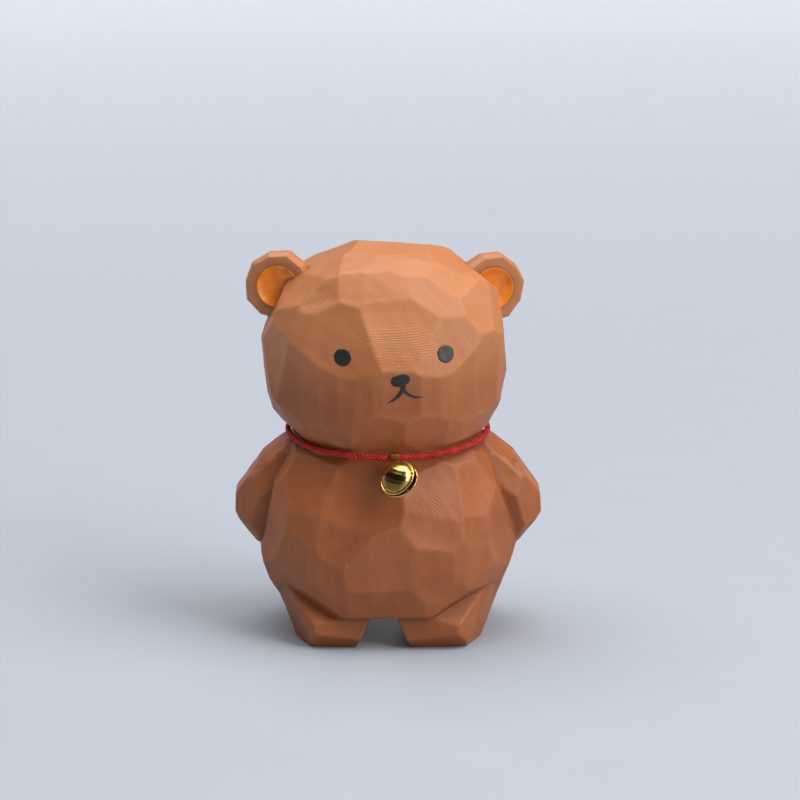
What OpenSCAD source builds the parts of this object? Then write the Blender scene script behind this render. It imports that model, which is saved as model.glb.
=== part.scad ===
// Hand-carved wooden bear with painted face and a jingle bell on a neck cord.
// +Z is up and the bear faces -Y. The origin is on the floor, under the middle.
// Each wooden block is a rounded block taken down by flat knife cuts. A cut is
// [turn, rise, shave]: turn 0 faces -Y and grows towards +X, rise is the angle
// above level, and shave is how far the cut goes under the rounded surface.

/* [Head] */
// width of the rounded block that the head is cut from
head_w = 51.8; // [46:0.1:56]
// depth of the head block, muzzle to nape
head_d = 48.0; // [43:0.1:53]
// height of the head block
head_h = 47.4; // [44:0.1:52]
// height of the middle of the head above the floor
head_z = 59.2; // [57:0.1:62]
// how far the head looks towards +X, degrees
head_turn = 5; // [-12:1:12]

/* [Body] */
// width of the rounded block that the body is cut from
body_w = 51.6; // [48:0.1:60]
// depth of the body block
body_d = 46.4; // [43:0.1:52]
// height of the body block, most of which stands above the belly line
body_h = 54.0; // [50:0.1:58]
// height of the widest part of the body
body_z = 20.0; // [18:0.1:22]
// height of the arch between the legs
arch_h = 5.9; // [4:0.1:8]

/* [Arms] */
// length of an arm block
arm_l = 26.0; // [22:0.1:30]
// thickness of an arm, side to side
arm_w = 13.0; // [11:0.1:16]
// depth of an arm, front to back
arm_d = 17.0; // [13:0.1:20]
// how far the arms spread from upright, degrees
arm_spread = 23; // [14:1:30]

/* [Ears] */
// radius of the ear disc
ear_r = 7.5; // [6:0.1:8.5]
// thickness of the ear
ear_t = 5.6; // [4.5:0.1:7]
// radius of the painted hollow in the ear
ear_bowl_r = 4.5; // [3:0.1:5]
// depth of the painted hollow
ear_bowl_deep = 1.5; // [0.8:0.1:2]
// glue line between an ear and its slot in the head
glue_gap = 0.08; // [0.04:0.01:0.2]

/* [Face] */
// thickness of the paint
paint_t = 0.12; // [0.08:0.01:0.3]
// radius of an eye
eye_r = 1.75; // [1:0.05:2.5]
// distance of each eye from the middle of the face
eye_out = 10.6; // [8:0.1:13]
// height of the eyes above the middle of the head
eye_up = 4.1; // [2:0.1:7]
// width of the nose
nose_w = 4.0; // [3:0.1:5.5]
// height of the nose above the middle of the head
nose_up = -0.7; // [-2:0.1:1]

/* [Neck cord] */
// radius of the neck cord
cord_r = 0.6; // [0.45:0.05:0.8]
// radius of the loop that the cord makes, to its middle
collar_r = 21.3; // [20:0.1:23]
// height of the middle of the loop
collar_z = 43.7; // [42:0.1:46]
// how much lower the loop runs at the throat, degrees
collar_tilt = 5.2; // [0:0.1:10]
// free room round the cord in the neck groove
cord_room = 0.3; // [0.2:0.05:0.5]
// radius of the knot at the nape
knot_r = 1.6; // [1.2:0.1:2]
// length of each cord tail past the knot
tail_l = 5.7; // [2:0.1:6]
// how far the cord turns each way round the neck, degrees
collar_turn = 14; // [4:1:16]

/* [Bell] */
// outer radius of the bell
bell_r = 3.7; // [3.4:0.05:4.4]
// thickness of the brass sheet
shell_t = 0.4; // [0.3:0.05:0.5]
// how far the lips stand out from the bell
lip_out = 0.25; // [0.1:0.05:0.5]
// width of the slit between the lips
slit = 0.9; // [0.6:0.05:1.2]
// width of the bell's eye along the cord
eye_w = 1.9; // [1.4:0.1:2.4]
// thickness of the strap that the eye is bent from
strap_t = 0.35; // [0.25:0.05:0.45]
// free room between the cord and the eye
eye_room = 0.25; // [0.2:0.05:0.4]
// depth of each cup of the bell
cup_deep = 2.3; // [2:0.05:3.4]
// how far under level the bell hangs at rest, less if the chest is in the way
bell_lean = 38; // [20:1:70]
// angle that the bell hangs to the side of its eye, degrees
bell_roll = 6; // [0:1:15]
// angle that the bell is turned about its own height, degrees
bell_twist = -32; // [-40:1:40]
// where the bell hangs on the cord, degrees from the middle of the throat
bell_at = 4; // [-10:1:10]
// free room between the bell and the chest all through its travel
chest_room = 0.3; // [0.25:0.05:0.6]
// radius of the clapper ball
clapper_r = 1.1; // [0.8:0.05:1.3]
// free room under the clapper ball while the bell hangs still
clapper_room = 0.3; // [0.2:0.05:0.5]

/* [Hidden] */
$fn = 64;

wood = [0.66, 0.42, 0.27];
orange = [0.87, 0.48, 0.12];
black = [0.10, 0.09, 0.08];
red = [0.66, 0.07, 0.08];
brass = [0.75, 0.60, 0.30];
steel = [0.62, 0.62, 0.63];

// rounded blocks: half sizes, and how square they are (2 is an ellipsoid)
head_half = [head_w, head_d, head_h] / 2;
head_square = 2.5;
body_half = [body_w, body_d, body_h] / 2;
body_square = 2.8;
arm_half = [arm_w, arm_d, arm_l] / 2;
arm_square = 2.6;
head_at = [-0.4, 0.5, head_z];
body_at = [-0.2, 0.3, body_z];
shoulder_at = [body_w * 0.486, 0.6, body_z + 11.0];

// knife cuts made on purpose
face_cuts = [
  [-21, 15, 2.9], [15, 18, 2.5], [4, 24, 2.9],
  [-15, 37, 1.85], [3, 36, 2.4], [14, 35, 2.75],
  [-34, 46, 0.9], [-20, 57, 0.5], [0, 57, 0.7], [16, 57, 1.4], [32, 48, 2.1],
  [-62, 60, 1.2], [-90, 66, 1.0], [-30, 70, 0.7], [0, 70, 0.4], [30, 70, 0.6],
  [60, 62, 1.0], [0, 84, 0.3],
  [-34, 33, 2.1], [-33, 19, 2.2], [-54, 24, 1.3], [-62, 44, 1.6], [42, 33, 1.9], [62, 24, 0.7],
  [-64, 2, 0.9], [-46, -4, 1.7], [-34, -4, 2.0], [-29, -4, 1.95], [-24, -4, 1.65],
  [-16, -4, 1.0], [-9, -4, 0.4], [3, -4, 0.3], [8, -4, 0.25], [13, -4, 0.55],
  [23, -4, 0.9], [33, -4, 1.4], [46, -3, 1.6], [66, -4, 0.9],
  [-58, -26, 0.9], [-40, -27, 0.8], [-22, -25, 0.6], [-6, -26, 0.5], [12, -25, 0.5],
  [30, -26, 0.7], [46, -27, 1.2], [62, -28, 1.4], [84, -12, 1.0], [80, -30, 1.2],
  [88, 6, 1.2], [-76, -28, 0.9], [-88, -8, 0.5]
];
chest_cuts = [
  [17, 20, 1.4], [-8, 17, 1.2], [-32, 22, 1.6], [40, 20, 1.4],
  [4, 44, 1.2], [-26, 46, 0.8], [34, 46, 0.8]
];
belly_cuts = [
  [0, -90, body_z - arch_h], [-16, -6, 0.4], [12, -4, 0.5], [-38, -2, 0.6],
  [38, -4, 0.6], [-1, -3, 0.2], [-27, -3, 0.3], [26, -3, 0.35], [-11, 6, 0.55],
  [14, 8, 0.65], [-31, 10, 0.8], [38, 8, 0.7],
  [0, -14, 0.8], [-24, -14, 1.0], [24, -14, 1.1], [-12, -15, 0.65], [13, -14, 0.6],
  [60, 6, 0.5], [-60, 8, 0.5], [90, -22, 2.2], [-90, -22, 2.2],
  [50, -20, 2.4], [-50, -20, 2.4], [122, -24, 2.0], [-122, -24, 2.0],
  [-50, -42, 6.1], [50, -42, 6.1]
];
arm_cuts = [
  [-90, 13, 1.9], [-90, -22, 0.9], [-90, -59, 3.0], [-50, 20, 1.4],
  [-45, -12, 1.2], [-20, 10, 0.8], [-40, -50, 1.6], [-135, 8, 1.2],
  [-140, -45, 1.6], [10, -8, 0.6], [-90, 70, 1.4]
];
// cuts of the leg at -X: turn, rise, and a point that the cut passes through,
// from the middle of the sole
leg_cuts = [
  [-90, -22, [-6.4, 0, 1]], [90, -24, [6.8, 0, 0]], [3, 6, [0, -20.2, 2]],
  [-6, 35, [0, -18.9, 7.0]], [-42, 2, [-2.0, -20, 1]], [-4, -42, [0, -18.8, 1.6]],
  [-62, -48, [-8.4, -9.4, 0.6]], [-68, -16, [-6.0, -11, 2]],
  [-114, -16, [-6.0, 8, 2]], [180, 12, [0, 17.4, 1]], [-138, 2, [-4, 17, 1]],
  [146, 4, [4, 17, 1]], [180, -50, [0, 16.6, 0.6]]
];

// derived sizes of the neck, the cord and the bell
neck_r = collar_r - cord_r - cord_room;
groove_half_h = cord_r + cord_room;
groove_rim_r = head_w / 2 + 1.6;
groove_up = 45;
groove_down = 38;
knot_at = neck_r + (knot_r + cord_room - groove_half_h * cos(groove_down)) / sin(groove_down);
eye_bore_r = cord_r + eye_room;
eye_out_r = eye_bore_r + strap_t;
lip_r = bell_r + lip_out;
hang = lip_r + eye_out_r + 0.1;

// vectors
function aim(turn, rise) =
  [sin(turn) * cos(rise), -cos(turn) * cos(rise), sin(rise)];
function tilt_x(v, a) =
  [v.x, v.y * cos(a) - v.z * sin(a), v.y * sin(a) + v.z * cos(a)];
function turn_z(v, a) =
  [v.x * cos(a) - v.y * sin(a), v.x * sin(a) + v.y * cos(a), v.z];
function from_collar(v, a) = tilt_x(turn_z(v, a), collar_tilt);

// how far a rounded block reaches in one direction
function reach(half, square, way) =
  let (q = square / (square - 1))
  pow(pow(half.x * abs(way.x), q) + pow(half.y * abs(way.y), q)
    + pow(half.z * abs(way.z), q), 1 / q);

// evenly spread cuts, left out where a cut was made on purpose
function nearest(cut, cuts) =
  max([for (c = cuts) aim(c[0], c[1]) * aim(cut[0], cut[1])]);
function spread_cuts(count, start, shave, cuts, apart) =
  [for (i = [0 : count - 1])
    let (cut = [start + i * 137.508, asin(1 - (2 * i + 1) / count),
      shave * (1 + 0.4 * sin(i * 83))])
    if (nearest(cut, cuts) < cos(apart)) cut];

// the body ends where the neck starts, just under the cord
neck_way = aim(0, 90 - collar_tilt);
neck_cut = [0, 90 - collar_tilt,
  reach(body_half, body_square, neck_way)
    - neck_way * ([0, 0, collar_z] - body_at) + cord_r + cord_room];

head_cuts = concat(face_cuts, spread_cuts(96, 20, 0.5, face_cuts, 18));
front_cuts = concat(chest_cuts, belly_cuts, [neck_cut]);
body_cuts = concat(front_cuts, spread_cuts(84, 55, 0.5, front_cuts, 20));
limb_cuts = concat(arm_cuts, spread_cuts(34, 10, 0.4, arm_cuts, 28));

// lowest rest of the bell: angle under level where it just clears one cut
// face of the chest, with the cord turned by a
function rest_on(cut, a) =
  let (
    n = aim(cut[0], cut[1]),
    face = n * body_at + reach(body_half, body_square, n) - cut[2],
    pivot = [0, 0, collar_z] + from_collar([0, -collar_r, 0], a),
    out = n * from_collar([0, -1, 0], a),
    down = n * from_collar([0, 0, -1], a),
    side = n * from_collar([1, 0, 0], a),
    need = lip_r + chest_room - (n * pivot - face) - hang * sin(bell_roll) * side,
    most = sqrt(out * out + down * down),
    part = need / (hang * cos(bell_roll) * most)
  )
  part < -1 ? 180 : atan2(down, out) + acos(min(1, part));
chest_limit = min([for (s = [-1 : 0.25 : 1])
  max([for (c = chest_cuts) rest_on(c, bell_at + s * collar_turn)])]);
bell_rest = min(bell_lean, chest_limit);

// a rounded block taken down by flat knife cuts
module whittled(half, square, cuts) {
  big = 2.4 * max(half);
  hull()
    difference() {
      cube(big, center = true);
      for (c = cuts)
        rotate([90 - c[1], 0, c[0]])
          translate([-big, -big, reach(half, square, aim(c[0], c[1])) - c[2]])
            cube(2 * big);
    }
}

module head_blank() {
  translate(head_at)
    rotate([0, 0, head_turn])
      whittled(head_half, head_square, head_cuts);
}

module body_blank() {
  translate(body_at)
    whittled(body_half, body_square, body_cuts);
}

// side is -1 for the arm at -X and 1 for the arm at +X
module arm_blank(side) {
  translate([side * shoulder_at.x, shoulder_at.y, shoulder_at.z])
    rotate([0, -side * arm_spread, 0])
      mirrored(side)
        whittled(arm_half, arm_square, limb_cuts);
}

module mirrored(side) {
  if (side < 0)
    children();
  else
    mirror([1, 0, 0])
      children();
}

// a leg with its foot, standing on the floor between two distances from the
// middle: a block taken down by cuts through known points
module leg(side, inner, outer) {
  stretch = (outer - inner) / 13.9;
  big = 40;
  translate([side * (inner + outer) / 2, 0, 0])
    mirrored(side)
      hull()
        difference() {
          translate([-12, -22, 0])
            cube([24, 42, 13]);
          for (c = leg_cuts)
            translate([c[2].x * stretch, c[2].y, c[2].z])
              rotate([90 - c[1], 0, c[0]])
                translate([-big, -big, 0])
                  cube(2 * big);
        }
}

module tail() {
  translate([0, body_at.y + body_d / 2 - 4.6, 13.5])
    rotate([-78, 0, 0])
      cylinder(h = 6.2, r1 = 4.6, r2 = 2.8, $fn = 7);
}

module in_collar(a) {
  translate([0, 0, collar_z])
    rotate([collar_tilt, 0, 0])
      rotate([0, 0, a])
        children();
}

// groove round the neck, deeper at the throat where the bell's eye rides; its
// sides flare out past the wood of the head and the shoulders
module neck_groove() {
  wide = groove_rim_r - neck_r;
  in_collar(0)
    rotate_extrude()
      polygon([
        [neck_r, -groove_half_h],
        [neck_r + wide, -groove_half_h - wide * tan(groove_down)],
        [neck_r + wide, groove_half_h + wide * tan(groove_up)],
        [neck_r, groove_half_h]
      ]);
  sweep = 2 * (collar_turn + 6);
  in_collar(bell_at - 90 - sweep / 2)
    rotate_extrude(angle = sweep)
      translate([collar_r, 0])
        circle(eye_out_r + cord_room);
}

module carved_body() {
  color(wood)
    difference() {
      union() {
        head_blank();
        body_blank();
        arm_blank(-1);
        arm_blank(1);
        leg(-1, 6.5, 20.4);
        leg(1, 4.7, 20.8);
        tail();
      }
      neck_groove();
      ear_blank(-1, glue_gap);
      ear_blank(1, glue_gap);
    }
}

// ears: a knife-cut disc, thinner towards its rim
ear_rim = [1.00, 0.97, 1.02, 0.98, 1.01, 0.96, 1.02, 0.99, 0.97, 1.01, 0.98];

function ear_outline(r) =
  [for (i = [0 : len(ear_rim) - 1])
    let (a = i * 360 / len(ear_rim) + 8)
    r * ear_rim[i] * [cos(a), sin(a)]];

module in_ear(side) {
  translate([
    head_at.x + side * (head_w * 0.433) + (side < 0 ? 0.1 : -0.5),
    head_at.y + 0.6 + side * 1.9,
    head_z + head_h * 0.314 - side * 0.5
  ])
    rotate([90, 0, side * 14 + head_turn])
      children();
}

// rings of the ear, back to front: height and size of the outline
function ear_rings(grow) = [
  [-ear_t / 2 - grow, ear_r * 0.74 + grow],
  [-ear_t * 0.1, ear_r + grow],
  [ear_t * 0.26, ear_r + grow],
  [ear_t / 2 + grow, ear_r * 0.9 + grow]
];

module ear_blank(side, grow) {
  n = len(ear_rim);
  rings = ear_rings(grow);
  points = [for (k = rings) for (p = ear_outline(k[1])) [p.x, p.y, k[0]]];
  walls = [for (k = [0 : len(rings) - 2]) for (i = [0 : n - 1])
    [k * n + i, (k + 1) * n + i, (k + 1) * n + (i + 1) % n, k * n + (i + 1) % n]];
  back = [for (i = [0 : n - 1]) i];
  front = [for (i = [n - 1 : -1 : 0]) (len(rings) - 1) * n + i];
  in_ear(side)
    polyhedron(points, concat(walls, [back], [front]));
}

// ball that the hollow is scooped with, shrunk where paint fills it
module ear_scoop(side, shrink) {
  scoop_r = (ear_bowl_r * ear_bowl_r + ear_bowl_deep * ear_bowl_deep)
    / (2 * ear_bowl_deep);
  in_ear(side)
    translate([0, 0, ear_t / 2 + scoop_r - ear_bowl_deep])
      sphere(scoop_r - shrink);
}

module ear(side) {
  color(wood)
    difference() {
      ear_blank(side, 0);
      difference() {
        ear_scoop(side, 0);
        head_blank();
      }
    }
}

module ear_paint(side) {
  color(orange)
    difference() {
      intersection() {
        ear_blank(side, 0);
        ear_scoop(side, 0);
      }
      ear_scoop(side, paint_t);
      head_blank();
    }
}

// paint on the face: an outline laid on the wood from straight in front
module face_paint(across, up) {
  difference() {
    intersection() {
      translate([0, -paint_t, 0])
        head_blank();
      translate(head_at)
        rotate([0, 0, head_turn])
          translate([across, 0, up])
            rotate([90, 0, 0])
              linear_extrude(head_d)
                children();
    }
    head_blank();
  }
}

// the left eye was painted a little lower than the right one
module eye_paint(side) {
  color(black)
    face_paint(side * eye_out, eye_up + (side < 0 ? -0.5 : 0))
      circle(eye_r);
}

module nose_paint() {
  color(black)
    face_paint(1.0, nose_up)
      hull() {
        translate([-nose_w * 0.21, -nose_w * 0.05])
          circle(nose_w * 0.29, $fn = 32);
        translate([nose_w * 0.22, nose_w * 0.06])
          circle(nose_w * 0.28, $fn = 32);
        translate([nose_w * 0.08, -nose_w * 0.14])
          circle(nose_w * 0.22, $fn = 32);
      }
}

// one brush stroke from the first point to the last, drawn towards the middle
// one, thinning from a half width at its start to a fine end
module brush_stroke(p, half_w) {
  steps = 14;
  way = [for (i = [0 : steps])
    let (t = i / steps)
    (1 - t) * (1 - t) * p[0] + 2 * t * (1 - t) * p[1] + t * t * p[2]];
  side = [for (i = [0 : steps])
    let (t = i / steps, along = (1 - t) * (p[1] - p[0]) + t * (p[2] - p[1]))
    [-along.y, along.x] / norm(along) * (half_w * (1 - t * t) + 0.04)];
  polygon(concat(
    [for (i = [0 : steps]) way[i] + side[i]],
    [for (i = [steps : -1 : 0]) way[i] - side[i]]
  ));
}

// two strokes that part under the nose, placed from the nose's middle
module mouth_paint() {
  color(black)
    face_paint(1.0, nose_up)
      difference() {
        union() {
          brush_stroke([[0.7, -1.2], [0.25, -3.7], [-2.8, -4.8]], 0.45);
          brush_stroke([[0.4, -1.7], [2.1, -4.1], [5.0, -3.65]], 0.36);
        }
        translate([nose_w * 0.08, -nose_w * 0.14])
          circle(nose_w * 0.22 + 0.02, $fn = 32);
      }
}

// the cord is tied at the nape; its two ends stick out past the knot
module neck_cord() {
  color(red)
    in_collar(0) {
      rotate_extrude()
        translate([collar_r, 0])
          circle(cord_r, $fn = 32);
      translate([0, knot_at, 0]) {
        sphere(knot_r);
        for (s = [-1, 1])
          rotate([-108, 0, s * 38])
            cylinder(h = knot_r + tail_l, r = cord_r, $fn = 32);
      }
    }
}

// the bell's own places: at its eye, and at the middle of its shells
module in_eye() {
  in_collar(bell_at)
    translate([0, -collar_r, 0])
      rotate([bell_rest - 90, 0, 0])
        children();
}

module in_bell() {
  in_eye()
    rotate([0, -bell_roll, 0])
      translate([0, 0, -hang])
        rotate([0, 0, bell_twist])
          children();
}

module bell_eye() {
  color(brass)
    difference() {
      union() {
        in_eye()
          rotate([0, 90, 0])
            cylinder(h = eye_w, r = eye_out_r, center = true);
        in_bell()
          translate([-eye_w / 2, -slit / 2, bell_r - 1.2])
            cube([eye_w, slit, hang - bell_r + 1.2 - eye_bore_r - strap_t / 2]);
      }
      in_eye()
        rotate([0, 90, 0])
          cylinder(h = 3 * eye_w, r = eye_bore_r, center = true);
    }
}

// half of the bell: a domed cup with a turned-out lip
module bell_cup() {
  edge = slit / 2;
  dome_r = (bell_r * bell_r + cup_deep * cup_deep) / (2 * cup_deep);
  rotate([90, 0, 0])
    rotate_extrude()
      union() {
        intersection() {
          translate([0, edge + cup_deep - dome_r])
            difference() {
              circle(dome_r);
              circle(dome_r - shell_t);
            }
          translate([0, edge])
            square(bell_r);
        }
        translate([bell_r - shell_t, edge])
          square([shell_t + lip_out, shell_t]);
      }
}

module bell_front_shell() {
  color(brass)
    in_bell()
      bell_cup();
}

// the rear cup carries the seam that closes the slit over the top; the seam is
// let half a sheet's thickness into the cup's lip and meets the front cup flush
module bell_rear_shell() {
  color(brass)
    in_bell()
      difference() {
        union() {
          mirror([0, 1, 0])
            bell_cup();
          rotate([90, 0, 0])
            rotate([0, 0, 8])
              translate([0, 0, -slit / 2 - shell_t / 2])
                rotate_extrude(angle = 164)
                  translate([bell_r - shell_t, 0])
                    square([shell_t + lip_out - 0.1, slit + shell_t / 2]);
        }
        translate([-eye_w / 2, -slit / 2, 0])
          cube([eye_w, slit, 2 * bell_r]);
      }
}

module bell_clapper() {
  color(steel)
    in_bell()
      translate([0, 0, clapper_r + clapper_room + shell_t - bell_r])
        sphere(clapper_r);
}

carved_body();
ear(-1);  // ear_left
ear(1);  // ear_right
ear_paint(-1);  // ear_paint_left
ear_paint(1);  // ear_paint_right
eye_paint(-1);  // eye_paint_left
eye_paint(1);  // eye_paint_right
nose_paint();
mouth_paint();
neck_cord();
bell_eye();
bell_front_shell();
bell_rear_shell();
bell_clapper();
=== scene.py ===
"""Hand-carved wooden bear with a painted face, a braided neck cord and a brass jingle bell."""

import math

import bmesh
import bpy
import numpy as np
from mathutils import Matrix, Vector
from mathutils.bvhtree import BVHTree
from mathutils.kdtree import KDTree


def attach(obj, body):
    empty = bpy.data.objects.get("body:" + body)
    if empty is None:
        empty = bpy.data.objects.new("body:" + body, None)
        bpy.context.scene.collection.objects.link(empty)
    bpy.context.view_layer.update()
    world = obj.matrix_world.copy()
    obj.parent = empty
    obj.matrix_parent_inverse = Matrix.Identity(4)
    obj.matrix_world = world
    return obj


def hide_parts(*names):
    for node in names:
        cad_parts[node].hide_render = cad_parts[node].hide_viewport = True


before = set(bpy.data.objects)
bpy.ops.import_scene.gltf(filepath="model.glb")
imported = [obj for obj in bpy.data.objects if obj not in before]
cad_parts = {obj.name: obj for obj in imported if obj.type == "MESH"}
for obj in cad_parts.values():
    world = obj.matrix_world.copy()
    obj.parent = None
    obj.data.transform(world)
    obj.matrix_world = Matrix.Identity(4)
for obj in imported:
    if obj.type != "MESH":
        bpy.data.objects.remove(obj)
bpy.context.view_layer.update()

MM = 0.001
TURN = 2 * math.pi

# places that the looks share with the model, in millimetres and degrees
HEAD_AT = Vector((-0.4, 0.5, 59.2)) * MM
HEAD_TURN = 5
LOOP_R = 21.3 * MM
LOOP_HEIGHT = 43.7 * MM
LOOP_TILT = 5.2
BELL_AT = 4
BELL_REST = 38
BELL_ROLL = 6
BELL_TWIST = -32
HANG = 5.25 * MM
BELL_R = 3.7 * MM
CUP_DEEP = 2.3 * MM
SHELL_T = 0.4 * MM
SLIT = 0.9 * MM
CLAPPER_R = 1.1 * MM
CLAPPER_ROOM = 0.3 * MM
X, Y, Z = Vector((1, 0, 0)), Vector((0, 1, 0)), Vector((0, 0, 1))


def turned(degrees, axis):
    return Matrix.Rotation(math.radians(degrees), 4, axis)


IN_FACE = Matrix.Translation(HEAD_AT) @ turned(HEAD_TURN, "Z")
IN_LOOP = Matrix.Translation((0, 0, LOOP_HEIGHT)) @ turned(LOOP_TILT, "X")
ON_LOOP = IN_LOOP @ turned(BELL_AT, "Z") @ Matrix.Translation((0, -LOOP_R, 0))
IN_EYE = ON_LOOP @ turned(BELL_REST - 90, "X")
HANGING = IN_EYE @ turned(-BELL_ROLL, "Y")
IN_BELL = HANGING @ Matrix.Translation((0, 0, -HANG)) @ turned(BELL_TWIST, "Z")


def linear(red, green, blue):
    """A colour chart's 0-255 values as the linear colour that a shader takes."""
    parts = [c / 255 for c in (red, green, blue)]
    return tuple(p / 12.92 if p < 0.04045 else ((p + 0.055) / 1.055) ** 2.4 for p in parts) + (1.0,)


# ---------------------------------------------------------------- shader and node maths


class Num:
    """One output of a node. Python's own signs on it add Math nodes."""

    def __init__(self, tree, socket):
        self.tree, self.socket = tree, socket

    def math(self, operation, *values):
        return self.tree.node("ShaderNodeMath", {"operation": operation}, dict(enumerate(values)))

    def __add__(self, other):
        return self.math("ADD", self, other)

    def __radd__(self, other):
        return self.math("ADD", other, self)

    def __sub__(self, other):
        return self.math("SUBTRACT", self, other)

    def __rsub__(self, other):
        return self.math("SUBTRACT", other, self)

    def __mul__(self, other):
        return self.math("MULTIPLY", self, other)

    def __rmul__(self, other):
        return self.math("MULTIPLY", other, self)

    def __truediv__(self, other):
        return self.math("DIVIDE", self, other)

    def __rtruediv__(self, other):
        return self.math("DIVIDE", other, self)

    def __pow__(self, other):
        return self.math("POWER", self, other)

    def __neg__(self):
        return self.math("MULTIPLY", self, -1.0)

    def sin(self):
        return self.math("SINE", self)

    def cos(self):
        return self.math("COSINE", self)

    def between(self, low, high, new_low=0.0, new_high=1.0):
        """This number's share of the way from low to high, eased and held at both ends."""
        return self.tree.node(
            "ShaderNodeMapRange", {"interpolation_type": "SMOOTHSTEP"},
            {"Value": self, "From Min": low, "From Max": high, "To Min": new_low, "To Max": new_high},
        )


class Nodes:
    """A node tree, and the one way that nodes are added to it."""

    def __init__(self, tree):
        self.tree = tree

    def node(self, kind, settings=None, sockets=None, out=0):
        made = self.tree.nodes.new(kind)
        for name, value in (settings or {}).items():
            setattr(made, name, value)
        for name, value in (sockets or {}).items():
            self.feed(made.inputs[name], value)
        return Num(self, made.outputs[out]) if made.outputs else made

    def feed(self, socket, value):
        if isinstance(value, Num):
            self.tree.links.new(value.socket, socket)
        elif value is not None:
            socket.default_value = value


class Finish(Nodes):
    """A material made of nodes. Its sizes are in metres over the object's own coordinates."""

    def __init__(self, name):
        self.material = bpy.data.materials.new(name)
        self.material.use_nodes = True
        super().__init__(self.material.node_tree)
        self.tree.nodes.clear()
        self.place = self.node("ShaderNodeTexCoord", out="Object")

    def stretched(self, scale, tilt=(0.0, 0.0, 0.0)):
        """The object's coordinates tilted, then scaled along each axis."""
        return self.node("ShaderNodeMapping", {}, {"Vector": self.place, "Rotation": tilt, "Scale": scale})

    def noise(self, size, detail=3.0, rough=0.55, where=None, warp=0.0):
        """Cloudy noise from 0 to 1 with patches about size metres across."""
        return self.node(
            "ShaderNodeTexNoise", {},
            {"Vector": where or self.place, "Scale": 1 / size, "Detail": detail, "Roughness": rough,
             "Distortion": warp},
        )

    def mark(self, name):
        """A number that the mesh carries at its points."""
        return self.node("ShaderNodeAttribute", {"attribute_name": name}, out="Fac")

    def mix(self, share, first, second):
        made = self.tree.nodes.new("ShaderNodeMix")
        made.data_type = "RGBA"
        for socket, value in zip((made.inputs[0], made.inputs[6], made.inputs[7]), (share, first, second)):
            self.feed(socket, value)
        return Num(self, made.outputs[2])

    def parts(self, vector):
        made = self.tree.nodes.new("ShaderNodeSeparateXYZ")
        self.feed(made.inputs[0], vector)
        return [Num(self, o) for o in made.outputs]

    def bump(self, height, deep):
        """A bumped normal from a height of 0 to 1 that is deep metres high."""
        return self.node("ShaderNodeBump", {}, {"Height": height, "Distance": deep}, out="Normal")

    def shader(self, **sockets):
        made = self.node("ShaderNodeBsdfPrincipled", {}, {k.replace("_", " "): v for k, v in sockets.items()},
                         out="BSDF")
        self.node("ShaderNodeOutputMaterial", {}, {"Surface": made})
        return self.material


# ---------------------------------------------------------------- materials


def stained_wood():
    """Brown stain on fine-grained wood, rubbed thin on the ridges, with painted shade in the grooves and
    towards the bottom, and a painted highlight over the top of the head.
    """
    f = Finish("stained_wood")
    x, y, z = f.parts(f.place)
    grain = f.noise(0.0011, 4.0, 0.6, f.stretched((1.0, 1.0, 0.07)))
    fibre = f.noise(0.00032, 3.0, 0.6, f.stretched((1.0, 1.0, 0.12)))
    cloud = f.noise(0.011, 4.0, 0.6)
    mottle = f.noise(0.0035, 3.0, 0.6, warp=0.4)
    facet, ridge, crease = f.mark("facet"), f.mark("ridge"), f.mark("crease")
    base = f.mix(cloud.between(0.32, 0.7), linear(158, 84, 37), linear(172, 97, 46))
    base = f.mix(facet.between(0.55, 1.0) * 0.3, base, linear(190, 114, 62))
    base = f.mix(facet.between(0.45, 0.0) * 0.22, base, linear(140, 72, 34))
    base = f.mix(grain.between(0.35, 0.75) * 0.2, base, linear(132, 66, 28))
    base = f.mix(fibre.between(0.45, 0.75) * 0.2, base, linear(126, 64, 30))
    base = f.mix(mottle.between(0.5, 0.8) * 0.15, base, linear(190, 116, 62))
    base = f.mix(ridge * fibre.between(0.3, 0.6) * 0.16, base, linear(200, 132, 80))
    # painted shade: the wood is darker towards the bottom of the figure
    base = f.mix(z.between(0.048, 0.004) * 0.3, base, linear(122, 60, 26))
    # painted highlight: the top of the head is paler, as if lit from above
    base = f.mix(z.between(0.052, 0.068) * 0.42, base, linear(208, 142, 92))
    # painted shade: the wood is darkened in the grooves, where shade falls
    base = f.mix(crease * 0.5, base, linear(92, 44, 20))
    specks = f.node("ShaderNodeTexVoronoi", {"feature": "F1"}, {"Vector": f.place, "Scale": 1 / 0.004},
                    out="Distance")
    size = f.noise(0.006, 1.0)
    speck = (1.0 - specks.between(0.016, 0.045)) * size.between(0.56, 0.62)
    base = f.mix(speck * 0.8, base, linear(226, 190, 150))
    rough = 0.44 + grain * 0.14 + speck * 0.1
    rings = rings_relief(f, x, y, z)
    tooth = f.noise(0.00022, 2.0, 0.6)
    height = fibre * 0.4 + grain * 0.3 + mottle * 0.2 + tooth * 0.4 + rings
    return f.shader(Base_Color=base, Roughness=rough, Specular_IOR_Level=0.5,
                    Normal=f.bump(height, 0.00009))


def rings_relief(f, x, y, z):
    """Growth rings that stand out as fine lines where a cut runs nearly along them."""
    wander = f.noise(0.005, 3.0) * 0.0016
    broken = f.noise(0.0016, 3.0).between(0.35, 0.6)
    total = 0.0
    for across, up, apart, middle, half, deep in (
            (-0.06, 1.0, 0.00052, (3.5, -21.5, 65.6), (12.0, 9.0, 4.6), 0.55),
            (0.62, 0.8, 0.00055, (8.5, -22.0, 31.5), (4.0, 6.0, 6.0), 0.4),
            (-0.66, 0.75, 0.0008, (-17.0, -15.0, 74.0), (6.0, 8.0, 5.0), 0.4)):
        level = x * across + z * up + wander
        lines = (level * (TURN / apart)).sin() * 0.5 + 0.5
        total = lines * broken * blot(middle, half, x, y, z) * deep + total
    return total


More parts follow.
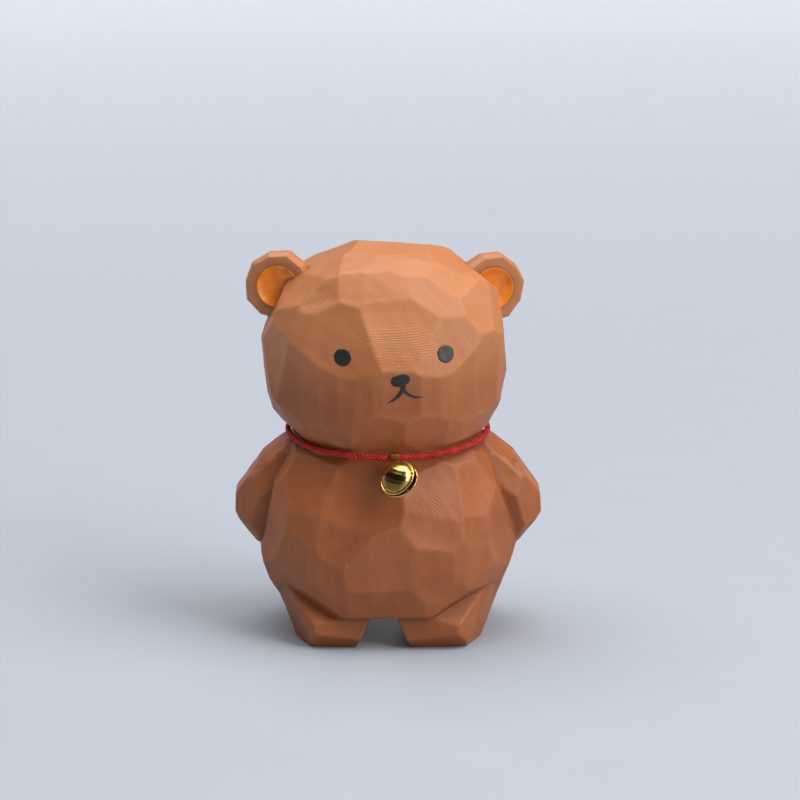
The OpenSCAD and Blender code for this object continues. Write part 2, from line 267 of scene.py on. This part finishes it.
def blot(middle, half, x, y, z):
    """1 at the middle of a soft-edged patch given in millimetres, 0 outside it."""
    far = sum(((v - m * MM) / (h * MM)) ** 2.0 for v, m, h in zip((x, y, z), middle, half))
    return 1.0 - far.between(0.35, 1.0)


def brushed_paint(name, thin, full, rough, coat):
    """Satin acrylic, brushed on so that the wood's grain just shows through it."""
    f = Finish(name)
    strokes = f.noise(0.0004, 3.0, 0.6, f.stretched((1.0, 1.0, 0.25), (0.0, 0.5, 0.0)))
    pools = f.noise(0.0022, 3.0, 0.5)
    colour = f.mix(pools.between(0.3, 0.7), thin, full)
    colour = f.mix(strokes.between(0.45, 0.8) * 0.25, colour, thin)
    return f.shader(Base_Color=colour, Roughness=rough + strokes * 0.18, Coat_Weight=coat,
                    Coat_Roughness=0.25, Normal=f.bump(strokes * 0.6 + pools * 0.4, 0.00005))


def braid_thread():
    """Dyed polyester thread, with painted shade where a strand passes under another and a painted highlight
    where it lies on top.
    """
    f = Finish("red_braid")
    filament = f.noise(0.00016, 2.0, 0.6)
    dye = f.noise(0.003, 2.0)
    colour = f.mix(dye.between(0.3, 0.7), linear(178, 4, 8), linear(214, 10, 16))
    colour = f.mix(filament.between(0.55, 0.8) * 0.3, colour, linear(230, 40, 40))
    over = f.mark("over")
    # painted shade where a strand passes under another, painted highlight where it lies on top
    colour = f.mix(over.between(0.5, 0.0) * 0.75, colour, linear(92, 0, 3))
    colour = f.mix(over.between(0.75, 1.0) * 0.4, colour, linear(248, 84, 84))
    return f.shader(Base_Color=colour, Roughness=0.4 + filament * 0.2, Specular_IOR_Level=0.45,
                    Normal=f.bump(filament, 0.00003))


def worn_brass(name, bright, dark, rough, tarnish):
    """Brass sheet with drawing marks, patchy tarnish and a painted dark reflection on the front of the dome.
    """
    f = Finish(name)
    x, y, z = f.parts(f.place)
    marks = f.noise(0.0005, 3.0, 0.6, f.stretched((0.2, 0.2, 1.0), (0.5, 0.2, 0.0)))
    bloom = f.noise(0.0018, 4.0, 0.65)
    share = bloom.between(0.5, 0.75) * tarnish
    colour = f.mix(share, bright, dark)
    # painted reflection: a dark patch on the front of the dome, where the bell mirrors dark surroundings
    patch = blot((1.4, -27.2, 38.3), (2.9, 3.0, 2.8), x, y, z)
    colour = f.mix(patch * tarnish * 1.7, colour, linear(88, 74, 32))
    drawn = ((z + x * 0.15 + bloom * 0.0003) * (TURN / 0.00095)).sin() * 0.5 + 0.5
    return f.shader(Base_Color=colour, Metallic=1.0, Roughness=rough + share * 0.25 + marks * 0.05,
                    Normal=f.bump(drawn * 0.9 + marks * 0.3 + bloom * 0.5, 0.00003))


def tumbled_steel():
    """The clapper ball: tumbled steel, grey and a little dull."""
    f = Finish("tumbled_steel")
    pits = f.noise(0.0004, 4.0, 0.6)
    colour = f.mix(pits.between(0.4, 0.7), linear(150, 150, 152), linear(182, 181, 180))
    return f.shader(Base_Color=colour, Metallic=1.0, Roughness=0.3 + pits * 0.15,
                    Normal=f.bump(pits, 0.00003))


# ---------------------------------------------------------------- mesh helpers


def add_object(name, mesh, material):
    made = bpy.data.objects.new(name, mesh)
    bpy.context.scene.collection.objects.link(made)
    mesh.materials.clear()
    mesh.materials.append(material)
    for face in mesh.polygons:
        face.use_smooth = True
    return made


def from_bmesh(bm, name, material):
    mesh = bpy.data.meshes.new(name)
    bm.to_mesh(mesh)
    bm.free()
    return add_object(name, mesh, material)


def points_of(mesh):
    points = np.zeros(len(mesh.vertices) * 3, np.float32)
    mesh.vertices.foreach_get("co", points)
    return points.reshape(-1, 3).astype(float)


def set_points(mesh, points):
    mesh.vertices.foreach_set("co", points.astype(np.float32).ravel())
    mesh.update()


def edges_of(mesh):
    edges = np.zeros(len(mesh.edges) * 2, np.int32)
    mesh.edges.foreach_get("vertices", edges)
    return edges.reshape(-1, 2)


def relax(points, edges, rounds, share):
    """Moves each point part of the way to the middle of its neighbours."""
    count = np.bincount(edges.ravel(), minlength=len(points))[:, None]
    a, b = edges.T
    for _ in range(rounds):
        total = np.stack([
            np.bincount(a, points[b, k], len(points)) + np.bincount(b, points[a, k], len(points))
            for k in range(3)
        ], 1)
        points = points + share * (total / count - points)
    return points


def ripple(points, size, seed, waves=14):
    """A smooth random push at each point, about one unit strong, that turns over about size metres."""
    rng = np.random.default_rng(seed)
    total = np.zeros_like(points)
    for _ in range(waves):
        way = rng.normal(size=3)
        way *= TURN / size * rng.uniform(0.6, 1.5) / np.linalg.norm(way)
        total += np.sin(points @ way + rng.uniform(0, TURN))[:, None] * rng.normal(size=3)
    return total / math.sqrt(waves / 2)


def cad_copy(name):
    """A merged copy of a CAD node in which each flat cut is one face."""
    bm = bmesh.new()
    bm.from_mesh(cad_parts[name].data)
    bmesh.ops.remove_doubles(bm, verts=bm.verts, dist=0.002 * MM)
    bmesh.ops.dissolve_limit(bm, angle_limit=math.radians(0.6), verts=bm.verts, edges=bm.edges)
    bm.normal_update()
    return bm


def evenly_meshed(bm, name, material, depth, scale):
    """The same closed shape in small squares of one size, with its corners kept."""
    mesh = bpy.data.meshes.new(name)
    bm.to_mesh(mesh)
    made = bpy.data.objects.new(name, mesh)
    bpy.context.scene.collection.objects.link(made)
    even = made.modifiers.new("even", "REMESH")
    even.mode, even.octree_depth, even.scale, even.sharpness = "SHARP", depth, scale, 1.0
    even.use_remove_disconnected = False
    baked = bpy.data.meshes.new_from_object(made.evaluated_get(bpy.context.evaluated_depsgraph_get()))
    bpy.data.objects.remove(made)
    baked.name = name
    return add_object(name, baked, material)


# ---------------------------------------------------------------- carved wood


def ridge_points(bm, convex, spacing=0.15 * MM):
    """Points along every sharp edge that is a ridge, or that is a groove."""
    found = []
    for e in bm.edges:
        if len(e.link_faces) != 2 or e.calc_face_angle(0.0) < math.radians(2):
            continue
        if e.is_convex != convex:
            continue
        a, b = (v.co for v in e.verts)
        steps = max(1, int((b - a).length / spacing))
        found += [a.lerp(b, k / steps) for k in range(steps + 1)]
    return found


def far_from(places, points, most):
    """How far each point is from the nearest of the places, up to most."""
    if not places:
        return np.full(len(points), most)
    tree = KDTree(len(places))
    for k, p in enumerate(places):
        tree.insert(p, k)
    tree.balance()
    return np.minimum([tree.find(p)[2] for p in points], most)


def carved(name, material, depth, scale, soften, warp, hollow, seed, calm=None):
    """A CAD node as knife-cut wood: each cut a little hollow and wavy, each ridge rubbed soft.
    The wood under the paint of the calm node stays just as it was cut."""
    bm = cad_copy(name)
    made = evenly_meshed(bm, name + "_wood", material, depth, scale)
    points, edges = points_of(made.data), edges_of(made.data)
    cuts = BVHTree.FromBMesh(bm)
    near = [cuts.find_nearest(p) for p in points]
    facet = np.array([n[2] for n in near])
    normal = np.array([n[1] for n in near])
    ridge = far_from(ridge_points(bm, True), points, 4 * MM)
    crease = far_from(ridge_points(bm, False), points, 4 * MM)
    bm.free()
    rng = np.random.default_rng(seed)
    deep = hollow * rng.uniform(0.2, 1.0, facet.max() + 1)[facet]
    edge = np.minimum(ridge, crease)
    painted = [v.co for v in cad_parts[calm].data.vertices] if calm else []
    loose = np.clip(far_from(painted, points, 2 * MM) / (1.2 * MM), 0, 1)
    points = points - normal * (loose * deep * (1 - np.exp(-(edge / (1.6 * MM)) ** 2)))[:, None]
    points = relax(points, edges, soften, 0.5)
    fade = (loose * np.clip(points[:, 2] / (2.0 * MM), 0, 1))[:, None]
    slow, quick = ripple(points, 13 * MM, seed), ripple(points, 4 * MM, seed + 1)
    points = points + fade * (slow * warp + quick * warp * 0.22)
    set_points(made.data, points)
    tint = rng.uniform(0, 1, facet.max() + 1)[facet]
    # the crease mark sets painted shade in the grooves in the wood's material; the ridge mark sets the stain
    # rubbed thin on the ridges
    for label, values in (("facet", tint), ("ridge", np.exp(-ridge / (0.45 * MM))),
                          ("crease", np.exp(-crease / (0.7 * MM)))):
        marks = made.data.attributes.new(label, "FLOAT", "POINT")
        marks.data.foreach_set("value", values.astype(np.float32))
    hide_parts(name)
    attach(made, "figure")
    return made


# ---------------------------------------------------------------- paint


def stroke(start, toward, end, half_w, steps=60):
    """A brush stroke as a chain of discs (x, z, r) from start to end, thinning to a fine end."""
    chain = []
    for t in (k / steps for k in range(steps + 1)):
        x, z = ((1 - t) ** 2 * a + 2 * t * (1 - t) * b + t * t * c for a, b, c in zip(start, toward, end))
        chain.append((x, z, half_w * (1 - t * t) + 0.05))
    return chain


def past_discs(discs, x, z):
    """How far a point is outside a chain of discs, less than 0 inside it."""
    return min(math.hypot(x - cx, z - cz) - r for cx, cz, r in discs)


def painted_shape(name, material, discs, across, up, wood_tree, seed, step=0.07, thick=0.13):
    """A thin domed coat of paint whose outline is a chain of discs, laid on the finished wood."""
    uneven = 0.035  # how far the outline wanders
    swell = 0.16  # how far in from its edge the coat takes to rise
    least, root = 0.012, 0.08  # its thickness at the edge, and how deep it goes into the wood
    rng = np.random.default_rng(seed)
    wobble = rng.uniform(0, TURN, 4)
    low = [min(d[k] - d[2] for d in discs) - 2 * step for k in (0, 1)]
    high = [max(d[k] + d[2] for d in discs) + 2 * step for k in (0, 1)]
    wide, tall = (int((high[k] - low[k]) / step) + 1 for k in (0, 1))

    def distance(x, z):
        edge = uneven * (math.sin(2.6 * x + wobble[0]) * math.sin(3.1 * z + wobble[1])
                         + 0.6 * math.sin(7.0 * x + 5.0 * z + wobble[2]))
        return past_discs(discs, x, z) + edge

    away = {(i, k): distance(low[0] + i * step, low[1] + k * step)
            for i in range(wide + 1) for k in range(tall + 1)}
    bm = bmesh.new()
    tops, bottoms = {}, {}

    def place(key, x, z, d):
        if key in tops:
            return
        start = IN_FACE @ (Vector((across + x, -40, up + z)) * MM)
        way = (IN_FACE.to_3x3() @ Y).normalized()
        hit, normal, _, _ = wood_tree.ray_cast(start, way)
        lift = thick * (1 - math.exp(min(d, 0) / swell)) + least
        tops[key] = bm.verts.new(hit + normal * lift * MM)
        bottoms[key] = bm.verts.new(hit - normal * root * MM)

    def crossing(a, b):
        share = away[a] / (away[a] - away[b])
        key = (min(a, b), max(a, b))
        at = [low[k] + step * (a[k] + share * (b[k] - a[k])) for k in (0, 1)]
        place(key, at[0], at[1], 0.0)
        return key

    for i in range(wide):
        for k in range(tall):
            corners = [(i, k), (i + 1, k), (i + 1, k + 1), (i, k + 1)]
            if min(away[c] for c in corners) >= 0:
                continue
            loop = []
            for a, b in zip(corners, corners[1:] + corners[:1]):
                if away[a] < 0:
                    place(a, low[0] + a[0] * step, low[1] + a[1] * step, away[a])
                    loop.append(a)
                if (away[a] < 0) != (away[b] < 0):
                    loop.append(crossing(a, b))
            if len(loop) > 2:
                bm.faces.new([tops[c] for c in loop])
                bm.faces.new([bottoms[c] for c in reversed(loop)])
    under = {top: bottoms[key] for key, top in tops.items()}
    for e in [e for e in bm.edges if e.is_boundary and e.verts[0] in under and e.verts[1] in under]:
        a, b = e.verts
        bm.faces.new((a, b, under[b], under[a]))
    bmesh.ops.remove_doubles(bm, verts=bm.verts, dist=0.004 * MM)
    bmesh.ops.recalc_face_normals(bm, faces=bm.faces)
    made = from_bmesh(bm, name, material)
    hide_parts(name)
    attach(made, "figure")


def face_paint(material, wood_tree):
    """Two eyes, a rounded nose, and a mouth of two strokes that part under it."""
    for name, across, up, seed in (("eye_paint_left", -10.6, 3.6, 30), ("eye_paint_right", 10.6, 4.1, 32)):
        eye = [(0.05 * math.cos(a), 0.07 * math.sin(a), 1.7) for a in (0.5, 2.6, 4.6)]
        painted_shape(name, material, eye, across, up, wood_tree, seed)
    lobes = ((-0.84, -0.2, 1.16), (0.88, 0.24, 1.12), (0.32, -0.56, 0.9))
    nose = [tuple(a + (b - a) * k / 10 for a, b in zip(one, two))
            for one, two in zip(lobes, lobes[1:] + lobes[:1]) for k in range(10)]
    painted_shape("nose_paint", material, nose, 1.0, -0.7, wood_tree, 37)
    mouth = stroke((0.7, -1.2), (0.25, -3.7), (-2.8, -4.8), 0.45)
    mouth += stroke((0.4, -1.7), (2.1, -4.1), (5.0, -3.65), 0.36)
    painted_shape("mouth_paint", material, mouth, 1.0, -0.7, wood_tree, 41)


def ear_paint(side, material):
    """Orange paint pooled in the hollow of an ear."""
    name = "ear_paint_" + side
    bm = cad_copy(name)
    made = evenly_meshed(bm, name + "_coat", material, 7, 0.9)
    bm.free()
    points, edges = points_of(made.data), edges_of(made.data)
    points = relax(points, edges, 2, 0.5)
    points[:, 1] += ripple(points, 2.2 * MM, 51)[:, 1] * 0.02 * MM - 0.03 * MM
    set_points(made.data, points)
    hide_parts(name)
    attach(made, "figure")


# ---------------------------------------------------------------- cord


class Growth(Nodes):
    """A Geometry Nodes tree with named inputs that works on one object."""

    def __init__(self, name, inputs):
        tree = bpy.data.node_groups.new(name, "GeometryNodeTree")
        super().__init__(tree)
        tree.interface.new_socket("Geometry", in_out="OUTPUT", socket_type="NodeSocketGeometry")
        tree.interface.new_socket("Geometry", in_out="INPUT", socket_type="NodeSocketGeometry")
        self.keys = {}
        for label, kind in inputs.items():
            made = tree.interface.new_socket(label, in_out="INPUT", socket_type="NodeSocket" + kind)
            self.keys[label] = made.identifier
        start = tree.nodes.new("NodeGroupInput")
        self.inputs = {o.name: Num(self, o) for o in start.outputs if o.name}

    def finish(self, geometry):
        real = self.node("GeometryNodeRealizeInstances", {}, {"Geometry": geometry})
        done = self.node("GeometryNodeSetMaterial", {},
                         {"Geometry": real, "Material": self.inputs["Material"]})
        end = self.tree.nodes.new("NodeGroupOutput")
        self.tree.links.new(done.socket, end.inputs[0])

    def grown(self, base, values):
        """The finished mesh that the tree grows from the base object, which is then removed."""
        modifier = base.modifiers.new(self.tree.name, "NODES")
        modifier.node_group = self.tree
        for label, value in values.items():
            modifier[self.keys[label]] = value
        baked = bpy.data.meshes.new_from_object(base.evaluated_get(bpy.context.evaluated_depsgraph_get()))
        bpy.data.objects.remove(base)
        return baked


def braid_tree():
    """Strands wound each way round every path, passing over and under by turns."""
    each_way = 4
    g = Growth("braid", {"Strand": "Float", "Lay": "Float", "Weave": "Float", "Pitch": "Float",
                         "Step": "Float", "Core": "Float", "Material": "Material"})
    path = g.node("GeometryNodeResampleCurve", {"mode": "LENGTH"},
                  {"Curve": g.inputs["Geometry"], "Length": g.inputs["Step"]})
    length = g.node("GeometryNodeSplineLength", out="Length")
    turns = g.node("ShaderNodeMath", {"operation": "ROUND"}, {0: length / g.inputs["Pitch"]})
    share = g.node("GeometryNodeSplineParameter", out="Factor")
    copies = g.node("GeometryNodeDuplicateElements", {"domain": "SPLINE"},
                    {"Geometry": path, "Amount": 2 * each_way})
    number = Num(g, copies.socket.node.outputs["Duplicate Index"])
    away = number.math("MODULO", number, 2.0) * 2.0 - 1.0
    lane = number.math("FLOOR", number / 2.0)
    wound = share * turns * TURN
    around = away * wound + lane * (TURN / each_way)
    far = g.inputs["Lay"] + g.inputs["Weave"] * away * (wound * float(each_way)).cos()
    tangent = g.node("GeometryNodeInputTangent")
    normal = g.node("GeometryNodeInputNormal")
    side = g.node("ShaderNodeVectorMath", {"operation": "CROSS_PRODUCT"}, {0: tangent, 1: normal})

    def scaled(vector, number):
        return g.node("ShaderNodeVectorMath", {"operation": "SCALE"}, {0: vector, "Scale": number})

    push = g.node("ShaderNodeVectorMath", {"operation": "ADD"},
                  {0: scaled(normal, far * around.cos()), 1: scaled(side, far * around.sin())})
    strands = g.node("GeometryNodeSetPosition", {}, {"Geometry": copies, "Offset": push})
    # how far each point of a strand lies on top of the others, which the thread's material turns into painted
    # shade and highlight
    over = away * (wound * float(each_way)).cos() * 0.5 + 0.5
    strands = g.node("GeometryNodeStoreNamedAttribute", {"data_type": "FLOAT", "domain": "POINT"},
                     {"Geometry": strands, "Name": "over", "Value": over})

    def tube(curve, radius, sides):
        ring = g.node("GeometryNodeCurvePrimitiveCircle", {"mode": "RADIUS"},
                      {"Resolution": sides, "Radius": radius})
        return g.node("GeometryNodeCurveToMesh", {},
                      {"Curve": curve, "Profile Curve": ring, "Fill Caps": True})

    both = g.tree.nodes.new("GeometryNodeJoinGeometry")
    for part in (tube(strands, g.inputs["Strand"], 7), tube(path, g.inputs["Core"], 10)):
        g.tree.links.new(part.socket, both.inputs[0])
    g.finish(Num(g, both.outputs[0]))
    return g


def cord_paths():
    """The loop round the neck, the knot behind it, and the two ends that leave the knot."""
    loop = [IN_LOOP @ Vector((LOOP_R * math.sin(a), -LOOP_R * math.cos(a), 0))
            for a in (TURN * k / 180 for k in range(180))]
    knot_out = 22.33 * MM  # from the middle of the loop to the middle of the knot
    bend = 0.34 * MM  # size of the knot's curls
    first, run = 0.6, 6.6  # millimetres from the knot's middle to an end's start, and on to its tip
    knot_at = IN_LOOP @ Vector((0, knot_out, 0))
    knot = [knot_at + Vector(((2 + math.cos(3 * a)) * math.cos(2 * a), math.sin(3 * a) * 1.3,
                              (2 + math.cos(3 * a)) * math.sin(2 * a))) * bend
            for a in (TURN * k / 60 for k in range(60))]
    ends = []
    for lean in (-38, 38):
        way = IN_LOOP.to_3x3() @ (turned(lean, "Z") @ turned(-108, "X")).to_3x3() @ Z
        ends.append([knot_at + way * (first + run * t) * MM for t in (k / 16 for k in range(17))])
    return [(loop, True), (knot, True)] + [(end, False) for end in ends]


def neck_cord(material):
    """Thin round braid that was tied at the nape."""
    curve = bpy.data.curves.new("cord_path", "CURVE")
    curve.dimensions = "3D"
    for places, closed in cord_paths():
        line = curve.splines.new("POLY")
        line.points.add(len(places) - 1)
        for point, place in zip(line.points, places):
            point.co = (*place, 1.0)
        line.use_cyclic_u = closed
    base = bpy.data.objects.new("cord_path", curve)
    bpy.context.scene.collection.objects.link(base)
    baked = braid_tree().grown(base, {
        "Strand": 0.17 * MM, "Lay": 0.39 * MM, "Weave": 0.09 * MM, "Pitch": 3.72 * MM,
        "Step": 0.23 * MM, "Core": 0.3 * MM, "Material": material,
    })
    baked.name = "braided_cord"
    made = add_object("braided_cord", baked, material)
    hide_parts("neck_cord")
    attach(made, "collar")


# ---------------------------------------------------------------- bell


def swept(frames, section):
    """A solid that follows frames of (middle, side, up) with one closed section of (side, up) steps."""
    bm = bmesh.new()
    rings = [[bm.verts.new(middle + side * a + up * b) for a, b in section] for middle, side, up in frames]
    for one, two in zip(rings, rings[1:]):
        for k in range(len(section)):
            after = (k + 1) % len(section)
            bm.faces.new((one[k], one[after], two[after], two[k]))
    bm.faces.new(rings[0])
    bm.faces.new(list(reversed(rings[-1])))
    bmesh.ops.recalc_face_normals(bm, faces=bm.faces)
    return bm


def rounded_bar(wide, thick, corner, steps=4):
    """The outline of a bar with round edges, wide by thick."""
    outline = []
    for quarter, (sx, sy) in enumerate(((1, 1), (-1, 1), (-1, -1), (1, -1))):
        for k in range(steps + 1):
            a = TURN / 4 * (quarter + k / steps)
            outline.append((sx * (wide / 2 - corner) + corner * math.cos(a),
                            sy * (thick / 2 - corner) + corner * math.sin(a)))
    return outline


def cup_profile():
    """Half of a cup's section as (radius, height over the slit's middle), from pole to pole."""
    flat, steep = 2.5, 1.9

    def dome(reach, deep, a):
        return reach * math.sin(a) ** (2 / flat), SLIT / 2 + deep * math.cos(a) ** (2 / steep)

    outer = [dome(BELL_R - 0.1 * MM, CUP_DEEP, TURN / 4 * k / 34) for k in range(33)]
    lip_mid, lip_h, lip_thick = BELL_R + 0.02 * MM, SLIT / 2 + 0.2 * MM, 0.21 * MM
    lip = [(lip_mid + lip_thick * math.cos(a), lip_h + lip_thick * math.sin(a))
           for a in (math.radians(d) for d in range(100, -181, -20))]
    inner = [dome(BELL_R - 0.1 * MM - SHELL_T, CUP_DEEP - SHELL_T, TURN / 4 * (1 - k / 24))
             for k in range(1, 25)]
    return outer + lip + inner


def bell_cup(side, name, material, seed):
    """One stamped cup: a smooth dome with a rolled lip that isn't quite even."""
    rng = np.random.default_rng(seed)
    phase = rng.uniform(0, TURN, 3)
    bm = bmesh.new()
    around = 128
    uneven = 0.1 * MM  # how far the lip wanders from a true ring
    rings = []
    for r, h in cup_profile():
        lip = max(0.0, 1 - abs(r - BELL_R) / (0.9 * MM)) * max(0.0, 1 - (h - SLIT / 2) / (1.0 * MM))
        if r < 1e-7:
            rings.append([bm.verts.new(IN_BELL @ Vector((0, side * h, 0)))])
            continue
        ring = []
        for k in range(around):
            a = TURN * k / around
            wave = math.sin(3 * a + phase[0]) + 0.6 * math.sin(5 * a + phase[1])
            out = r + lip * uneven * wave
            tall = h + lip * uneven * (1 + math.sin(2 * a + phase[2]) + 0.5 * wave)
            ring.append(bm.verts.new(IN_BELL @ Vector((out * math.cos(a), side * tall, out * math.sin(a)))))
        rings.append(ring)
    for one, two in zip(rings, rings[1:]):
        for k in range(around):
            after = (k + 1) % around
            corners = [one[k % len(one)], one[after % len(one)], two[after % len(two)], two[k % len(two)]]
            bm.faces.new(list(dict.fromkeys(corners)))
    bmesh.ops.recalc_face_normals(bm, faces=bm.faces)
    if name == "bell_rear_shell":
        add_seam(bm)
    made = from_bmesh(bm, name.replace("shell", "cup"), material)
    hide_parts(name)
    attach(made, "bell")


def add_seam(bm):
    """The folded seam that shuts the slit over the top of the bell."""
    sink = 0.08 * MM  # how far the seam's middle lies under the cups' outside
    frames = []
    for degrees in range(8, 173, 2):
        out = Vector((math.cos(math.radians(degrees)), 0, math.sin(math.radians(degrees))))
        frames.append((IN_BELL @ (out * (BELL_R - sink)), IN_BELL.to_3x3() @ Y, IN_BELL.to_3x3() @ out))
    seam = swept(frames, rounded_bar(SLIT + 0.1 * MM, 0.42 * MM, 0.12 * MM))
    mesh = bpy.data.meshes.new("seam")
    seam.to_mesh(mesh)
    seam.free()
    bm.from_mesh(mesh)
    bpy.data.meshes.remove(mesh)


def bell_strap(material):
    """The strap: one strip bent round the cord, both of its ends let into the bell."""
    thick, wide, bend_r, gap = 0.35 * MM, 1.9 * MM, 1.025 * MM, 0.24 * MM
    path = [(-gap, -2.5 * MM), (-gap, -2.1 * MM), (-gap, -1.7 * MM), (-gap * 1.1, -1.4 * MM)]
    start, end = math.radians(246), math.radians(-66)
    path += [(bend_r * math.cos(a), bend_r * math.sin(a))
             for a in (start + (end - start) * k / 40 for k in range(41))]
    path += [(-y, z) for y, z in reversed(path[:4])]
    frames = []
    for k, (y, z) in enumerate(path):
        before, after = path[max(k - 1, 0)], path[min(k + 1, len(path) - 1)]
        along = Vector((0, after[0] - before[0], after[1] - before[1])).normalized()
        share = min(max((-z / MM - 0.9) / 1.0, 0.0), 1.0)
        hung = HANGING @ Vector((0, y, z))
        middle = (IN_EYE @ Vector((0, y, z))).lerp(hung, share)
        side = (IN_EYE.to_3x3() @ X).lerp(HANGING.to_3x3() @ X, share)
        frames.append((middle, side, IN_EYE.to_3x3() @ along.cross(X)))
    made = from_bmesh(swept(frames, rounded_bar(wide, thick, 0.1 * MM)), "bell_strap", material)
    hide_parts("bell_eye")
    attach(made, "bell")


def clapper(material):
    """A tumbled steel ball, loose in the bell."""
    bm = bmesh.new()
    bmesh.ops.create_icosphere(bm, subdivisions=5, radius=CLAPPER_R)
    middle = Vector((0, 0, CLAPPER_R + CLAPPER_ROOM + SHELL_T - BELL_R))
    for v in bm.verts:
        v.co = IN_BELL @ (v.co + middle)
    made = from_bmesh(bm, "clapper_ball", material)
    points = points_of(made.data)
    set_points(made.data, points + ripple(points, 0.9 * MM, 61) * 0.008 * MM)
    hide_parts("bell_clapper")
    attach(made, "clapper")


# ---------------------------------------------------------------- floor, light and camera


def sweep():
    """A wide round sheet of pale paper that rises in one curve at its rim."""
    f = Finish("pale_paper")
    tooth = f.noise(0.02, 3.0)
    back = f.parts(f.place)[1]
    # painted light: the paper is darker at the front and lighter towards the back
    light = f.mix(back.between(-0.5, 2.4), linear(156, 163, 175), linear(196, 203, 213))
    material = f.shader(Base_Color=f.mix(tooth * 0.3, light, linear(168, 176, 187)),
                        Roughness=0.75, Specular_IOR_Level=0.2)
    flat, curve, tall, around = 3.2, 0.8, 1.6, 96
    line = [(r, 0.0) for r in (0.15, 0.5, 1.2, 2.2, flat)] + [
        (flat + curve * math.sin(a), curve - curve * math.cos(a))
        for a in (math.radians(d) for d in range(6, 91, 6))
    ] + [(flat + curve, tall)]
    bm = bmesh.new()
    middle = bm.verts.new((0, 0, 0))
    rings = [[bm.verts.new((r * math.cos(k * TURN / around), r * math.sin(k * TURN / around), h))
              for k in range(around)] for r, h in line]
    for k in range(around):
        after = (k + 1) % around
        bm.faces.new((middle, rings[0][k], rings[0][after]))
        for low, high in zip(rings, rings[1:]):
            bm.faces.new((low[k], high[k], high[after], low[after]))
    from_bmesh(bm, "sweep", material)


def lamp(name, kind, way, far, power, colour, aim=0.045, **sizes):
    """A lamp far metres from the middle of the figure, along way, aimed at a height over the floor."""
    light = bpy.data.lights.new(name, kind)
    light.energy, light.color = power, colour
    for key, value in sizes.items():
        setattr(light, key, value)
    made = bpy.data.objects.new(name, light)
    made.location = Vector((0, 0, 0.045)) + far * Vector(way).normalized()
    made.rotation_euler = (Vector((0, 0, aim)) - made.location).to_track_quat("-Z", "Y").to_euler()
    bpy.context.scene.collection.objects.link(made)


def studio():
    """A broad soft lamp overhead, a softer key high on the right with a soft box in front of it, and
    a small low spot behind that lights the floor through the arch between the legs."""
    lamp("above", "SUN", (-0.14, 0.16, 0.95), 2.0, 2.95, (1.0, 0.985, 0.96), angle=math.radians(60))
    lamp("key", "SUN", (0.55, -0.15, 0.8), 2.0, 1.8, (1.0, 0.98, 0.95), angle=math.radians(40))
    lamp("box", "AREA", (0.7, -0.6, 0.45), 0.8, 2.9, (1.0, 0.985, 0.96), shape="RECTANGLE", size=0.34,
         size_y=0.46)
    lamp("behind", "SPOT", (0.03, 1.0, -0.3), 0.11, 0.15, (0.95, 0.98, 1.0), aim=0.003,
         spot_size=math.radians(22), spot_blend=0.8, shadow_soft_size=0.012)
    world = bpy.data.worlds.new("air")
    bpy.context.scene.world = world
    world.use_nodes = True
    world.node_tree.nodes["Background"].inputs["Color"].default_value = (0.92, 0.96, 1.0, 1.0)
    world.node_tree.nodes["Background"].inputs["Strength"].default_value = 0.05
    bpy.context.scene.view_settings.view_transform = "Standard"


def camera():
    lens = bpy.data.cameras.new("camera")
    lens.lens, lens.sensor_width, lens.clip_start, lens.clip_end = 126.5, 36.0, 0.02, 20.0
    made = bpy.data.objects.new("camera", lens)
    aim, far, rise = Vector((2.6, 0, 49.5)) * MM, 0.6, math.radians(12)
    made.location = aim + far * Vector((0, -math.cos(rise), math.sin(rise)))
    made.rotation_euler = (aim - made.location).to_track_quat("-Z", "Y").to_euler()
    bpy.context.scene.collection.objects.link(made)
    bpy.context.scene.camera = made


camera()
studio()
sweep()

wood = stained_wood()
body = carved("carved_body", wood, 8, 0.75, 1, 0.09 * MM, 0.13 * MM, 11)
for side in ("left", "right"):
    carved("ear_" + side, wood, 6, 0.9, 1, 0.05 * MM, 0.03 * MM, 23, calm="ear_paint_" + side)

black = brushed_paint("black_paint", linear(40, 33, 29), linear(24, 20, 18), 0.42, 0.06)
orange = brushed_paint("orange_paint", linear(232, 120, 10), linear(246, 146, 22), 0.38, 0.1)
wood_bm = bmesh.new()
wood_bm.from_mesh(body.data)
face_paint(black, BVHTree.FromBMesh(wood_bm))
wood_bm.free()
for side in ("left", "right"):
    ear_paint(side, orange)

neck_cord(braid_thread())
polished = worn_brass("polished_brass", linear(222, 186, 104), linear(120, 84, 40), 0.16, 0.5)
# the strap's brass: rougher, and painted darker as shade because it hangs in shadow
dull = worn_brass("dull_brass", linear(140, 84, 42), linear(84, 48, 24), 0.45, 0.7)
bell_cup(-1, "bell_front_shell", polished, 71)
bell_cup(1, "bell_rear_shell", polished, 73)
bell_strap(dull)
clapper(tumbled_steel())
